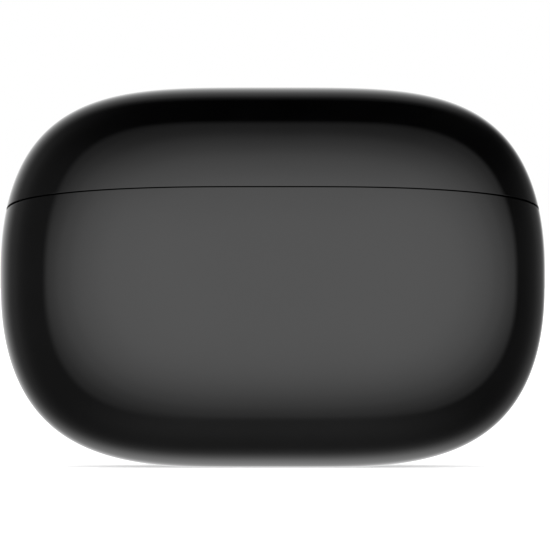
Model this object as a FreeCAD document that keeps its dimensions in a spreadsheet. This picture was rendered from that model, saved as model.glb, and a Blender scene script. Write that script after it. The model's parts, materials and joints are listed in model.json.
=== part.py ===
"""Charging case for wireless earbuds: a pillow-shaped clamshell with everything it holds inside.

Frame: millimetres, +Z up, X to the right, the front faces -Y. The origin is on the resting plane
under the middle of the case. The lid is closed. The seam between base and lid is a plane that
leans down towards the back, and the hinge axis lies in that plane.
"""
import FreeCAD, Part
import math
import os
import re
import Sketcher

V = FreeCAD.Vector

DIMENSIONS = {
    # outer form
    "case_width": 63.2, "case_depth": 26.0, "case_height": 44.0, "foot_cut": 0.45,
    "side_power": 2.64, "crown_power": 3.73, "foot_power": 3.3, "depth_power": 2.5,
    "wall_thick": 1.5, "skin_gap": 0.1, "trim_gap": 0.1, "room_gap": 0.3, "edge_break": 0.12,
    # seam plane
    "seam_height": 29.55, "seam_tilt": 13, "seam_gap": 0.12,
    # hinge, measured in the seam plane from the middle of the case
    "hinge_reach": 11.905, "hinge_radius": 1.2, "flush_half": 1.1, "pin_radius": 0.5, "pin_half": 13,
    "pin_end_gap": 0.2, "pin_fit": 0.01, "knuckle_fit": 0.04,
    "slot_half": 17.8, "slot_rise": 1.8, "slot_depth": 2.6, "base_knuckle": 6, "lid_knuckle": 6.2,
    "lid_knuckle_end": 17.6, "arm_start": 9.4, "arm_end": 13,
    "coil_room": 0.95, "coil_room_end": 8.75, "coil_start": 6.45,
    # deck and pockets for the earbuds
    "deck_drop": 0.5, "deck_thick": 1.2, "head_x": 15.5, "head_y": -0.3, "head_z": 28,
    "head_rx": 9.0, "head_ry": 8.6, "head_rz": 9.4, "cup_wall": 1.1,
    "tip_x": 9.0, "tip_y": 1.5, "tip_z": 27.5, "tip_rx": 4.6, "tip_ry": 5.0, "tip_rz": 5.4,
    "well_x": 17.5, "well_half_x": 4.1, "well_half_y": 3.5, "well_floor": 10, "well_top": 25,
    "well_corner": 1.6, "liner_gap": 0.3, "liner_thick": 1.0,
    "bumper_x": 26.6, "bumper_radius": 1.0, "bumper_low": -0.25,
    # screws and the posts they go into; bores are wider than their screws by a gap
    "boss_x": 12.4, "boss_y": 6.5, "boss_radius": 1.6, "boss_top": 23, "peg_radius": 0.6,
    "rear_boss_front": 6.9, "rear_boss_top": 26.35,
    "screw_radius": 0.5, "head_radius": 1.1, "screw_head": 0.4, "bore_gap": 0.02,
    "chassis_screw_length": 4.2, "base_screw_length": 3.6, "lid_screw_length": 2.6,
    # hinge brackets and their screws; the lid's are measured in the seam plane
    "bracket_front": 9.7, "bracket_back": 10.9, "bracket_low": 21.2, "bracket_top": 26.95,
    "arm_front": 9.3, "arm_back": 10.3, "arm_top": 3.8, "lid_screw_x": 11.2, "lid_screw_z": 2.3,
    "base_screw_x": 3.5, "base_screw_z": 23.2,
    # middle frame
    "plate_low": 10.8, "plate_high": 12.0, "bay_half": 9.9, "bay_front": -8.6, "bay_back": 5.5,
    "upright_half": 4.2, "upright_thick": 1.0, "frame_gap": 0.2,
    # charging port
    "port_width": 8.94, "port_height": 3.26, "port_gap": 0.1, "port_wall": 0.3, "port_inset": 0.12,
    "port_top": 7.5, "port_back_wall": 0.5, "tongue_half": 3.35, "tongue_thick": 0.7, "tongue_low": 1.0,
    # pairing button and its switch
    "button_z": 17.5, "button_radius": 2.6, "button_gap": 0.12, "button_seat": 10.0, "stem_radius": 0.9,
    "flange_radius": 3.2, "flange_low": 0.5, "flange_high": 1.1,
    "switch_board": 7.9, "switch_board_thick": 0.5, "switch_board_low": 13.5, "switch_board_top": 20.6,
    "switch_half": 1.7, "switch_floor": 0.3, "switch_tip_radius": 0.8, "switch_tip_length": 1.0,
    # status light
    "pipe_y": -4.7, "pipe_radius": 0.7, "pipe_gap": 0.05, "pipe_drop": 0.6,
    "led_half_x": 0.8, "led_half_y": 0.5, "led_height": 0.6,
    "flex_thick": 0.15, "flex_half": 1.2, "flex_bend": 2.9, "flex_foot": 1.9, "flex_top": 26.05,
    # circuit board and battery
    "board_half": 9.6, "board_front": 1.63, "board_thick": 0.8, "board_low": 2.4, "board_high": 19.6,
    "cell_half": 9.5, "cell_front": -8.3, "cell_back": 0.9, "cell_low": 7.9, "cell_high": 17.9,
    "cell_corner": 1.8, "guard_half": 8, "guard_front": -6, "guard_back": -1, "foam_low": 9, "foam_high": 17,
    "lead_radius": 0.4, "lead_bend": 1.0, "lead_front": -2.0, "lead_back": 3.3, "lead_top": 20.6,
    "connector_top": 17,
    # charging contacts
    "contact_pitch": 3.2, "barrel_radius": 0.8, "barrel_top": 10.3, "barrel_floor": 0.3,
    "plunger_radius": 0.5, "plunger_gap": 0.06, "plunger_foot": 8.4, "plunger_tip": 11.1,
    "contact_board": 5.6, "contact_board_thick": 0.6, "contact_board_half_x": 4, "contact_board_half_y": 2.3,
    "tail_half": 0.6, "tail_start": 9.6, "tail_end": 15,
    # magnets
    "catch_x": 5.6, "catch_y": -7.9, "catch_radius": 1.8, "magnet_thick": 1.6,
    "bud_magnet_radius": 2.5, "bud_magnet_z": 14.5, "sense_radius": 1.25, "sense_thick": 1.2, "sense_y": 3.2,
}

doc = FreeCAD.newDocument("earbuds_case")
sizes = doc.addObject("Spreadsheet::Sheet", "sizes")
for row, (alias, number) in enumerate(DIMENSIONS.items(), start=1):
    sizes.set("A%d" % row, alias)
    sizes.set("B%d" % row, str(number))
    sizes.setAlias("B%d" % row, alias)
doc.recompute()

nodes = []

LEVEL = "placement(vector(0; 0; 0); rotation(vector(1; 0; 0); 0))"
SEAM = "placement(vector(0; 0; seam_height); rotation(vector(1; 0; 0); -seam_tilt))"
TURN = {"X": "vector(0; 1; 0); 90", "Y": "vector(1; 0; 0); -90", "-Y": "vector(1; 0; 0); 90",
        "Z": "vector(0; 0; 1); 0"}


# ---------------------------------------------------------------- expressions and basic solids

def size(alias):
    """Value of a cell of the sheet."""
    return float(sizes.get(alias))


def bound(formula):
    """A formula whose dimension names refer to the sheet."""
    return re.sub(r"\b[a-z]+(?:_[a-z]+)+\b", lambda word: "sizes." + word.group(0), str(formula))


def value(formula):
    """A formula worked out as a number, in a spare cell of the sheet."""
    sizes.set("D1", "=" + str(formula))
    sizes.recompute()
    number = float(sizes.get("D1"))
    sizes.clear("D1")
    return number


def place(obj, frame, x, y, z, turn=TURN["Z"]):
    obj.setExpression("Placement", bound(
        "%s * placement(vector(%s; %s; %s); rotation(%s))" % (frame, x, y, z, turn)))


def block(name, x, y, z, frame=LEVEL):
    """Box between a low and a high formula along each axis."""
    obj = doc.addObject("Part::Box", name)
    for side, (low, high) in zip(("Length", "Width", "Height"), (x, y, z)):
        obj.setExpression(side, bound("(%s) - (%s)" % (high, low)))
    place(obj, frame, x[0], y[0], z[0])
    return obj


def rod(name, radius, length, x, y, z, axis="Z", frame=LEVEL):
    """Cylinder that starts at a point and runs along +axis."""
    obj = doc.addObject("Part::Cylinder", name)
    obj.setExpression("Radius", bound(radius))
    obj.setExpression("Height", bound(length))
    place(obj, frame, x, y, z, TURN[axis])
    return obj


def ellipsoid(name, centre, radii):
    obj = doc.addObject("Part::Ellipsoid", name)
    for prop, radius in zip(("Radius2", "Radius3", "Radius1"), radii):
        obj.setExpression(prop, bound(radius))
    place(obj, LEVEL, *centre)
    return obj


def fuse(name, parts):
    obj = doc.addObject("Part::MultiFuse", name)
    obj.Shapes = parts
    return obj


def common(name, parts):
    obj = doc.addObject("Part::MultiCommon", name)
    obj.Shapes = parts
    return obj


def cut(name, base, tools):
    obj = doc.addObject("Part::Cut", name)
    obj.Base = base
    obj.Tool = tools[0] if len(tools) == 1 else fuse(name + "_tools", tools)
    return obj


def mirror(name, source, normal=V(1, 0, 0)):
    obj = doc.addObject("Part::Mirroring", name)
    obj.Source = source
    obj.Normal = normal
    return obj


def group(name, parts):
    obj = doc.addObject("Part::Compound", name)
    obj.Links = parts
    return obj


def pair(name, source, normal=V(1, 0, 0)):
    """A piece and its mirror image, as separate solids of one group."""
    return group(name, [source, mirror(name + "_twin", source, normal)])


def node(name, obj):
    """Names a finished sub-part."""
    obj.Label = name
    nodes.append(obj)
    return obj


# ---------------------------------------------------------------- sketched solids

def sketch(body, plane, corners):
    """Closed outline through corners given as pairs of formulas."""
    outline = body.newObject("Sketcher::SketchObject", body.Name + "_outline")
    support = [feature for feature in body.Origin.OriginFeatures if feature.Role == plane][0]
    outline.AttachmentSupport = [(support, "")]
    outline.MapMode = "FlatFace"
    points = [(value(u), value(v)) for u, v in corners]
    edges = []
    for (u0, v0), (u1, v1) in zip(points, points[1:] + points[:1]):
        edges.append(outline.addGeometry(Part.LineSegment(V(u0, v0, 0), V(u1, v1, 0)), False))
    for edge, following in zip(edges, edges[1:] + edges[:1]):
        outline.addConstraint(Sketcher.Constraint("Coincident", edge, 2, following, 1))
    for edge, point, corner in zip(edges, points, corners):
        for kind, number, formula in zip(("DistanceX", "DistanceY"), point, corner):
            index = outline.addConstraint(Sketcher.Constraint(kind, -1, 1, edge, 1, number))
            outline.setExpression("Constraints[%d]" % index, bound(formula))
    return outline


def turned(name, corners, x, y, z, axis="Z", frame=LEVEL):
    """Solid of revolution: corners are (radius, height) along the turning axis."""
    body = doc.addObject("PartDesign::Body", name)
    outline = sketch(body, "XZ_Plane", corners)
    revolution = body.newObject("PartDesign::Revolution", name + "_revolution")
    revolution.Profile = outline
    revolution.ReferenceAxis = (outline, ["V_Axis"])
    revolution.Angle = 360
    outline.Visibility = False
    place(body, frame, x, y, z, TURN[axis])
    return body


def plate(name, x, y, z, corner=None, frame=LEVEL):
    """Padded rectangle, seen along Z. Its upright edges can be rounded by a corner radius."""
    body = doc.addObject("PartDesign::Body", name)
    corners = [(x[0], y[0]), (x[1], y[0]), (x[1], y[1]), (x[0], y[1])]
    outline = sketch(body, "XY_Plane", corners)
    pad = body.newObject("PartDesign::Pad", name + "_pad")
    pad.Profile = outline
    pad.setExpression("Length", bound("(%s) - (%s)" % (z[1], z[0])))
    outline.Visibility = False
    if corner:
        doc.recompute()
        edge_names = ["Edge%d" % (index + 1) for index, edge in enumerate(pad.Shape.Edges)
                      if abs(edge.tangentAt(edge.FirstParameter).z) > 0.9]
        fillet = body.newObject("PartDesign::Fillet", name + "_corners")
        fillet.Base = (pad, edge_names)
        fillet.setExpression("Radius", bound(corner))
        pad.Visibility = False
    place(body, frame, 0, 0, z[0])
    return body


# ---------------------------------------------------------------- the pillow form

AROUND = 48
THROUGH = 9
CAP_SCALE = 0.12


def front_outline(half_width, half_height, scale, y, mid_height):
    """Closed curve seen from the front: an oval whose power grows from its sides to its crown and foot."""
    points = []
    for step in range(AROUND):
        angle = 2 * math.pi * (step + 0.5) / AROUND
        side, rise = abs(math.cos(angle)), abs(math.sin(angle))
        end_power = size("crown_power" if math.sin(angle) > 0 else "foot_power")
        power = size("side_power") * side ** 2 + end_power * rise ** 2
        reach = scale * (side ** power + rise ** power) ** (-1 / power)
        points.append(V(half_width * reach * math.cos(angle), y,
                        mid_height + half_height * reach * math.sin(angle)))
    curve = Part.BSplineCurve()
    curve.interpolate(Points=points, PeriodicFlag=True)
    return Part.Wire([curve.toShape()])


def pillow(name, inset):
    """Loft of similar front outlines that shrink towards the front and the back."""
    half_height = (size("case_height") + size("foot_cut")) / 2
    mid_height = size("case_height") - half_height
    width = size("case_width") / 2 - inset
    depth = size("case_depth") / 2 - inset
    power = size("depth_power")
    last_angle = math.acos(CAP_SCALE ** (power / 2))
    sections = []
    for step in range(-THROUGH, THROUGH + 1):
        angle = last_angle * step / THROUGH
        scale = math.cos(angle) ** (2 / power)
        y = math.copysign(abs(math.sin(angle)) ** (2 / power), angle) * depth
        sections.append(front_outline(width, half_height - inset, scale, y, mid_height))
    obj = doc.addObject("Part::Feature", name)
    obj.Shape = Part.makeLoft(sections, True, False)
    obj.Placement = FreeCAD.Placement()
    return obj


def stadium(name, width, height, z):
    """Upright slot shape along X, as an opening for the charging port."""
    half = "(%s) / 2 - (%s) / 2" % (width, height)
    length = "(%s) - (%s)" % (z[1], z[0])
    ends = [rod(name + "_end_%d" % side, "(%s) / 2" % height, length, "%d * (%s)" % (side, half), 0, z[0])
            for side in (-1, 1)]
    middle = block(name + "_middle", ("-(%s)" % half, half),
                   ("-(%s) / 2" % height, "(%s) / 2" % height), z)
    return fuse(name, ends + [middle])


# ---------------------------------------------------------------- outer shells

FAR = 60
outer_form = pillow("outer_form", 0)
inner_form = pillow("inner_form", size("wall_thick"))
skin_form = pillow("skin_form", size("wall_thick") + size("skin_gap"))
trim_form = pillow("trim_form", size("trim_gap"))


def hinge_slot(name):
    return block(name, ("-slot_half", "slot_half"), ("hinge_reach - slot_depth", FAR),
                 ("-slot_rise", "slot_rise"), SEAM)


def lid_screw_holes(name):
    """Bores on the axes of the lid's hinge screws, along the seam plane."""
    right = rod(name + "_right", "screw_radius + bore_gap", "2 * lid_screw_length",
                "lid_screw_x", "arm_front - lid_screw_length", "lid_screw_z", "Y", SEAM)
    return pair(name, right)


def base_screw_holes(name):
    """Bores on the axes of the base's hinge screws, along Y."""
    right = rod(name + "_right", "screw_radius + bore_gap", "2 * base_screw_length",
                "base_screw_x", "bracket_back - base_screw_length", "base_screw_z", "Y")
    return pair(name, right)


def make_base_shell():
    below = block("below_seam", (-FAR, FAR), (-FAR, FAR), (-FAR, "-seam_gap / 2"), SEAM)
    above_foot = block("above_foot", (-FAR, FAR), (-FAR, FAR), (0, FAR))
    solid = common("base_solid", [outer_form, below, above_foot])
    port = stadium("port_hole", "port_width + 2 * port_gap", "port_height + 2 * port_gap",
                   ("-wall_thick", "2 * wall_thick"))
    hole = rod("button_hole", "button_radius + button_gap", FAR, 0, "button_seat", "button_z", "Y")
    node("base_shell", cut("base_shell", solid, [inner_form, hinge_slot("base_hinge_slot"), port, hole]))


def make_lid_shell():
    above = block("above_seam", (-FAR, FAR), (-FAR, FAR), ("seam_gap / 2", FAR), SEAM)
    solid = common("lid_solid", [outer_form, above])
    node("lid_shell", cut("lid_shell", solid, [inner_form, hinge_slot("lid_hinge_slot"),
                                               lid_screw_holes("lid_shell_holes")]))


# ---------------------------------------------------------------- pockets for the earbuds

def rounded_post(name, x, y, z, corner):
    """Upright box whose four upright edges are rounded."""
    box = block(name + "_box", x, y, z)
    doc.recompute()
    upright = [index + 1 for index, edge in enumerate(box.Shape.Edges)
               if abs(edge.tangentAt(edge.FirstParameter).z) > 0.9]
    obj = doc.addObject("Part::Fillet", name)
    obj.Base = box
    obj.Edges = [(index, corner, corner) for index in upright]
    return obj


def well_post(name, wall, z):
    """Space of the right earbud's stem, grown by a wall."""
    half_x, half_y = "(well_half_x + %s)" % wall, "(well_half_y + %s)" % wall
    return rounded_post(name, ("well_x - " + half_x, "well_x + " + half_x),
                        ("head_y - " + half_y, "head_y + " + half_y), z, size("well_corner"))


def pocket(name, wall, with_well=True):
    """Space of the right earbud, grown by a wall: a round head, its ear tip and its stem's well."""
    head = ellipsoid(name + "_head", ("head_x", "head_y", "head_z"),
                     ["head_r%s + %s" % (axis, wall) for axis in "xyz"])
    tip = ellipsoid(name + "_tip", ("tip_x", "tip_y", "tip_z"),
                    ["tip_r%s + %s" % (axis, wall) for axis in "xyz"])
    parts = [head, tip]
    if with_well:
        parts.append(well_post(name + "_well", wall, ("well_floor - " + wall, "well_top")))
    return fuse(name, parts)


def make_cradle():
    deck_slab = block("deck_slab", (-FAR, FAR), (-FAR, FAR), ("-deck_drop - deck_thick", "-deck_drop"), SEAM)
    deck = common("deck", [skin_form, deck_slab])
    below_deck = block("below_deck", (-FAR, FAR), (-FAR, FAR), (-FAR, "-deck_drop"), SEAM)
    cup = common("right_cup", [pocket("cup_outside", "cup_wall"), below_deck, skin_form])
    board_top = "contact_board + contact_board_thick"
    bosses = [pair("boss_row_%d" % side, rod("boss_%d" % side, "boss_radius", "boss_top - plate_high",
                                             "boss_x", "%d * boss_y" % side, "plate_high"))
              for side in (-1, 1)]
    pegs = [rod("peg_%d" % side, "peg_radius", "well_floor - (%s)" % board_top,
                "well_x + %d * (well_half_x - peg_radius)" % side, "head_y", board_top)
            for side in (-1, 1)]
    rear_boss = block("rear_boss", ("-base_knuckle", "base_knuckle"), ("rear_boss_front", "bracket_front"),
                      ("bracket_low", "rear_boss_top"))
    body = fuse("cradle_body", [deck, cup, mirror("left_cup", cup), rear_boss,
                                pair("peg_row", fuse("right_pegs", pegs))] + bosses)

    space = pocket("cup_inside", "0")
    screw_holes = [pair("chassis_hole_row_%d" % side,
                        rod("chassis_hole_%d" % side, "screw_radius + bore_gap", "chassis_screw_length",
                            "boss_x", "%d * boss_y" % side, "plate_low")) for side in (-1, 1)]
    contact_holes = [rod("contact_hole_%d" % side, "barrel_radius + bore_gap", "3 * cup_wall",
                         "well_x + %d * contact_pitch / 2" % side, "head_y", "well_floor - 2 * cup_wall")
                     for side in (-1, 1)]
    hinge_room = block("hinge_room", ("-slot_half - trim_gap", "slot_half + trim_gap"),
                       ("hinge_reach - hinge_radius - room_gap", FAR),
                       ("-slot_rise - 2 * room_gap", FAR), SEAM)
    bracket_room = block("bracket_room", ("-base_knuckle - room_gap", "base_knuckle + room_gap"),
                         ("bracket_front", FAR), ("bracket_low - room_gap", FAR))
    pipe_hole = rod("pipe_hole", "pipe_radius + pipe_gap", "3 * deck_thick", 0, "pipe_y",
                    "-deck_drop - 2 * deck_thick", "Z", SEAM)
    node("cradle", cut("cradle", body, [
        space, mirror("cup_inside_left", space), hinge_room, bracket_room, pipe_hole,
        pair("contact_hole_row", fuse("right_contact_holes", contact_holes)),
        base_screw_holes("cradle_hinge_holes")] + screw_holes))


def make_lid_liner():
    slab = block("liner_slab", (-FAR, FAR), (-FAR, FAR), ("liner_gap", "liner_gap + liner_thick"), SEAM)
    above = block("above_liner", (-FAR, FAR), (-FAR, FAR), ("liner_gap", FAR), SEAM)
    dome = common("right_dome", [pocket("dome_outside", "cup_wall", with_well=False), above, skin_form])
    body = fuse("liner_body", [common("liner_plate", [skin_form, slab]), dome, mirror("left_dome", dome)])
    space = pocket("dome_inside", "0", with_well=False)
    arm_room = block("arm_room", ("-arm_end - room_gap", "arm_end + room_gap"),
                     ("arm_front - screw_head - room_gap", FAR), (0, FAR), SEAM)
    knuckle_room = block("knuckle_room", ("-slot_half", "slot_half"),
                         ("hinge_reach - hinge_radius - room_gap", FAR),
                         ("-slot_rise", "2 * slot_rise"), SEAM)
    node("lid_liner", cut("lid_liner", body, [space, mirror("dome_inside_left", space),
                                              arm_room, knuckle_room]))


# ---------------------------------------------------------------- hinge

def barrel(name, low, high):
    """Piece of the hinge between two distances along X: round inside, flush with the case at the back,
    and within the circle that the slot leaves it to swing in."""
    length = "(%s) - (%s)" % (high, low)
    round_side = rod(name + "_round", "hinge_radius", length, low, "hinge_reach", 0, "X", SEAM)
    flush_side = block(name + "_flush", (low, high), ("hinge_reach", "hinge_reach + slot_rise"),
                       ("-flush_half", "flush_half"), SEAM)
    swing = rod(name + "_swing", "slot_rise - trim_gap", length, low, "hinge_reach", 0, "X", SEAM)
    return common(name, [fuse(name + "_whole", [round_side, flush_side]), swing, trim_form])


def make_hinge():
    base_arm = block("base_arm", ("-base_knuckle", "base_knuckle"), ("bracket_front", "bracket_back"),
                     ("bracket_low", "bracket_top"))
    solid = fuse("base_bracket_solid", [barrel("base_barrel", "-base_knuckle", "base_knuckle"), base_arm])
    bore = rod("base_bore", "pin_radius + pin_fit", "2 * pin_half", "-pin_half", "hinge_reach", 0, "X", SEAM)
    node("hinge_base_bracket", cut("hinge_base_bracket", solid, [bore, base_screw_holes("base_arm_holes")]))

    tab = block("lid_tab", ("arm_start", "arm_end"), ("arm_front", "hinge_reach"),
                ("liner_gap", "hinge_radius - trim_gap"), SEAM)
    arm = block("lid_arm", ("arm_start", "arm_end"), ("arm_front", "arm_back"),
                ("liner_gap", "arm_top"), SEAM)
    solid = fuse("lid_bracket_solid", [barrel("lid_barrel", "lid_knuckle", "lid_knuckle_end"), tab,
                                       common("lid_arm_inside", [arm, skin_form])])
    bore = rod("lid_bore", "pin_radius + knuckle_fit", "pin_half - base_knuckle + pin_end_gap",
               "base_knuckle", "hinge_reach", 0, "X", SEAM)
    coil_room = rod("lid_coil_room", "coil_room", "coil_room_end - base_knuckle",
                    "base_knuckle", "hinge_reach", 0, "X", SEAM)
    right = cut("lid_bracket_right", solid, [bore, coil_room, lid_screw_holes("lid_arm_holes")])
    node("hinge_lid_brackets", pair("hinge_lid_brackets", right))

    tip = "pin_radius - edge_break"
    pin = turned("hinge_pin", [(0, 0), (tip, 0), ("pin_radius", "edge_break"),
                               ("pin_radius", "2 * pin_half - edge_break"), (tip, "2 * pin_half"),
                               (0, "2 * pin_half")], "-pin_half", "hinge_reach", 0, "X", SEAM)
    node("hinge_pin", pin)


WIRE_SIDES = 8


def coil(mean, wire, pitch, turns):
    """Coil along +Z from the origin, of wire with an eight-sided section that is square to it."""
    along = V(0, 2 * math.pi * mean, pitch).normalize()
    across, up = V(1, 0, 0), along.cross(V(1, 0, 0))
    corners = []
    for step in range(WIRE_SIDES + 1):
        angle = 2 * math.pi * (step + 0.5) / WIRE_SIDES
        corners.append(V(mean, 0, 0) + across * (wire * math.cos(angle)) + up * (wire * math.sin(angle)))
    path = Part.Wire(Part.makeHelix(pitch, pitch * turns, mean))
    return path.makePipeShell([Part.makePolygon(corners)], True, True)


def make_hinge_springs():
    """Two torsion coils round the pin, each in the hollow end of a lid knuckle."""
    right = doc.addObject("Part::Feature", "hinge_spring_right")
    right.Shape = coil(mean=0.73, wire=0.15, pitch=0.5, turns=4)
    place(right, SEAM, "coil_start", "hinge_reach", 0, TURN["X"])
    node("hinge_springs", pair("hinge_springs", right))


def small_screw(name, length, x, y, z, axis, frame=LEVEL):
    """Pan-head screw with a driver recess; it starts at its head and runs along +axis."""
    recess_radius, recess_depth, recess_taper, point = 0.45, 0.2, 0.1, 0.2
    corners = [(0, recess_depth), (recess_radius - recess_taper, recess_depth), (recess_radius, 0),
               ("head_radius - edge_break", 0), ("head_radius", "edge_break"), ("head_radius", "screw_head"),
               ("screw_radius", "screw_head"), ("screw_radius", "%s - %s" % (length, point)),
               ("screw_radius - %s" % point, length), (0, length)]
    return turned(name, corners, x, y, z, axis, frame)


def make_screws():
    front = small_screw("chassis_screw", "chassis_screw_length", "boss_x", "-boss_y",
                        "plate_low - screw_head", "Z")
    rows = pair("chassis_screw_front", front)
    node("chassis_screws", pair("chassis_screws", rows, V(0, 1, 0)))
    base = small_screw("base_hinge_screw", "base_screw_length", "base_screw_x",
                       "bracket_back + screw_head", "base_screw_z", "-Y")
    node("hinge_base_screws", pair("hinge_base_screws", base))
    lid = small_screw("lid_hinge_screw", "lid_screw_length", "lid_screw_x",
                      "arm_front - screw_head", "lid_screw_z", "Y", SEAM)
    node("hinge_lid_screws", pair("hinge_lid_screws", lid))


# ---------------------------------------------------------------- magnets

def disc(radius, thick):
    """Half section of a disc whose edges are broken."""
    edge = "(%s) - edge_break" % radius
    return [(0, 0), (edge, 0), (radius, "edge_break"), (radius, "(%s) - edge_break" % thick),
            (edge, thick), (0, thick)]


def make_magnets():
    catch = disc("catch_radius", "magnet_thick")
    low = turned("base_magnet", catch, "catch_x", "catch_y", "-deck_drop - deck_thick - magnet_thick",
                 "Z", SEAM)
    node("base_magnets", pair("base_magnets", low))
    high = turned("lid_magnet", catch, "catch_x", "catch_y", "liner_gap + liner_thick", "Z", SEAM)
    node("lid_magnets", pair("lid_magnets", high))
    side = turned("earbud_magnet", disc("bud_magnet_radius", "magnet_thick"),
                  "well_x + well_half_x + cup_wall", "head_y", "bud_magnet_z", "X")
    node("earbud_magnets", pair("earbud_magnets", side))
    node("lid_sensor_magnet", turned("lid_sensor_magnet", disc("sense_radius", "sense_thick"),
                                     0, "sense_y", "liner_gap + liner_thick", "Z", SEAM))
    pad = rod("lid_bumper", "bumper_radius", "liner_gap - bumper_low", "bumper_x", 0, "bumper_low", "Z", SEAM)
    node("lid_bumpers", pair("lid_bumpers", pad))


# ---------------------------------------------------------------- frame, board and battery

def make_mid_frame():
    slab = block("frame_slab", (-FAR, FAR), (-FAR, FAR), ("plate_low", "plate_high"))
    shelf = common("frame_shelf", [skin_form, slab])
    upright = block("frame_upright", ("-upright_half", "upright_half"),
                    ("switch_board - upright_thick", "switch_board"), ("plate_low", "switch_board_top"))
    bay = block("frame_bay", ("-bay_half", "bay_half"), ("bay_front", "bay_back"), (-FAR, FAR))
    well_room = well_post("frame_well_room", "cup_wall + frame_gap", (0, "well_top"))
    holes = [pair("frame_hole_row_%d" % side,
                  rod("frame_hole_%d" % side, "screw_radius + frame_gap / 2", "chassis_screw_length",
                      "boss_x", "%d * boss_y" % side, "plate_low - screw_head")) for side in (-1, 1)]
    node("mid_frame", cut("mid_frame", fuse("frame_body", [shelf, upright]),
                          [bay, well_room, mirror("frame_well_room_left", well_room)] + holes))


def make_main_board():
    node("main_pcb", plate("main_pcb", ("-board_half", "board_half"),
                           ("board_front", "board_front + board_thick"), ("board_low", "board_high")))
    face = "board_front + board_thick"
    # name, where it is along X, how far it stands off the board, where it is along Z
    chips = [("charger_ic", (-8.2, -5.2), 1.0, (6, 9)),
             ("microcontroller", (-1.5, 3.0), 0.9, (7.5, 12)),
             ("power_inductor", (5.0, 8.0), 1.6, (5.6, 8.6)),
             ("hall_sensor", (5.6, 8.0), 0.9, (17.3, 18.9)),
             ("battery_connector", (-7.6, -3.0), 1.8, (15.0, "connector_top"))]
    for name, x, depth, z in chips:
        node(name, plate(name, x, (face, "%s + %s" % (face, depth)), z))
    half, depth, row = 0.5, 0.55, (12.9, 13.5)
    capacitors = [block("capacitor_%d" % index, (x - half, x + half), (face, "%s + %s" % (face, depth)), row)
                  for index, x in enumerate((-8.0, -6.6, -5.2, 5.2, 6.6, 8.0))]
    node("capacitors", group("capacitors", capacitors))


def make_battery():
    node("battery_cell", plate("battery_cell", ("-cell_half", "cell_half"), ("cell_front", "cell_back"),
                               ("cell_low", "cell_high"), corner="cell_corner"))
    node("battery_protection_board", plate("battery_protection_board", ("-guard_half", "guard_half"),
                                           ("guard_front", "guard_back"),
                                           ("cell_high", "cell_high + board_thick")))
    node("battery_foam_pad", plate("battery_foam_pad", ("-guard_half", "guard_half"),
                                   ("cell_back", "board_front"), ("foam_low", "foam_high")))
    for name, x in (("battery_lead_positive", -4.6), ("battery_lead_negative", -6.0)):
        lead(name, x)


def lead(name, x):
    """Wire that rises from the cell's board, crosses the circuit board's top edge and meets the connector."""
    low, high, end = size("cell_high") + size("board_thick"), size("lead_top"), size("connector_top")
    front, back, bend = size("lead_front"), size("lead_back"), size("lead_bend")
    slant = bend * (1 - math.sqrt(0.5))
    rise = Part.LineSegment(V(x, front, low), V(x, front, high - bend))
    first = Part.Arc(V(x, front, high - bend), V(x, front + slant, high - slant), V(x, front + bend, high))
    across = Part.LineSegment(V(x, front + bend, high), V(x, back - bend, high))
    second = Part.Arc(V(x, back - bend, high), V(x, back - slant, high - slant), V(x, back, high - bend))
    drop = Part.LineSegment(V(x, back, high - bend), V(x, back, end))
    route = Part.Wire([segment.toShape() for segment in (rise, first, across, second, drop)])
    ring = Part.Wire([Part.makeCircle(size("lead_radius"), V(x, front, low), V(0, 0, 1))])
    obj = doc.addObject("Part::Feature", name)
    obj.Shape = route.makePipeShell([ring], True, False)
    obj.Placement = FreeCAD.Placement()
    node(name, obj)


# ---------------------------------------------------------------- charging port

def make_port():
    back = "port_top - port_back_wall"
    outside = stadium("port_outside", "port_width", "port_height", ("port_inset", "port_top"))
    inside = stadium("port_inside", "port_width - 2 * port_wall", "port_height - 2 * port_wall",
                     ("-wall_thick", back))
    node("usb_c_shell", cut("usb_c_shell", outside, [inside]))
    node("usb_c_tongue", plate("usb_c_tongue", ("-tongue_half", "tongue_half"),
                               ("-tongue_thick / 2", "tongue_thick / 2"), ("tongue_low", back)))
    count, pitch, half, thick, length = 12, 0.5, 0.12, 0.06, (1.4, 5.2)
    strips = []
    for index in range(count):
        x = (index - (count - 1) / 2) * pitch
        for face, y in (("front", ("-tongue_thick / 2 - %s" % thick, "-tongue_thick / 2")),
                        ("back", ("tongue_thick / 2", "tongue_thick / 2 + %s" % thick))):
            strips.append(block("contact_strip_%s_%d" % (face, index), (x - half, x + half), y, length))
    node("usb_c_contacts", group("usb_c_contacts", strips))


# ---------------------------------------------------------------- pairing button and light

def make_button():
    solid = turned("button_solid", [(0, 0), ("stem_radius", 0), ("stem_radius", "flange_low"),
                                    ("flange_radius", "flange_low"), ("flange_radius", "flange_high"),
                                    ("button_radius", "flange_high"), ("button_radius", "case_depth / 2"),
                                    (0, "case_depth / 2")], 0, "button_seat", "button_z", "Y")
    node("pairing_button", common("pairing_button", [solid, trim_form]))
    node("switch_plunger", turned("switch_plunger", [(0, 0), ("switch_tip_radius", 0),
                                                     ("switch_tip_radius", "switch_tip_length"),
                                                     (0, "switch_tip_length")],
                                  0, "button_seat - switch_tip_length", "button_z", "Y"))
    board_face = "switch_board + switch_board_thick"
    housing = block("switch_housing", ("-switch_half", "switch_half"),
                    (board_face, "button_seat - frame_gap"),
                    ("button_z - switch_half", "button_z + switch_half"))
    bore = rod("switch_bore", "stem_radius", "2 * switch_half", 0, board_face + " + switch_floor",
               "button_z", "Y")
    node("tact_switch", cut("tact_switch", housing, [bore]))
    node("button_board", plate("button_board", ("-upright_half", "upright_half"),
                               ("switch_board", board_face), ("switch_board_low", "switch_board_top")))


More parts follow.
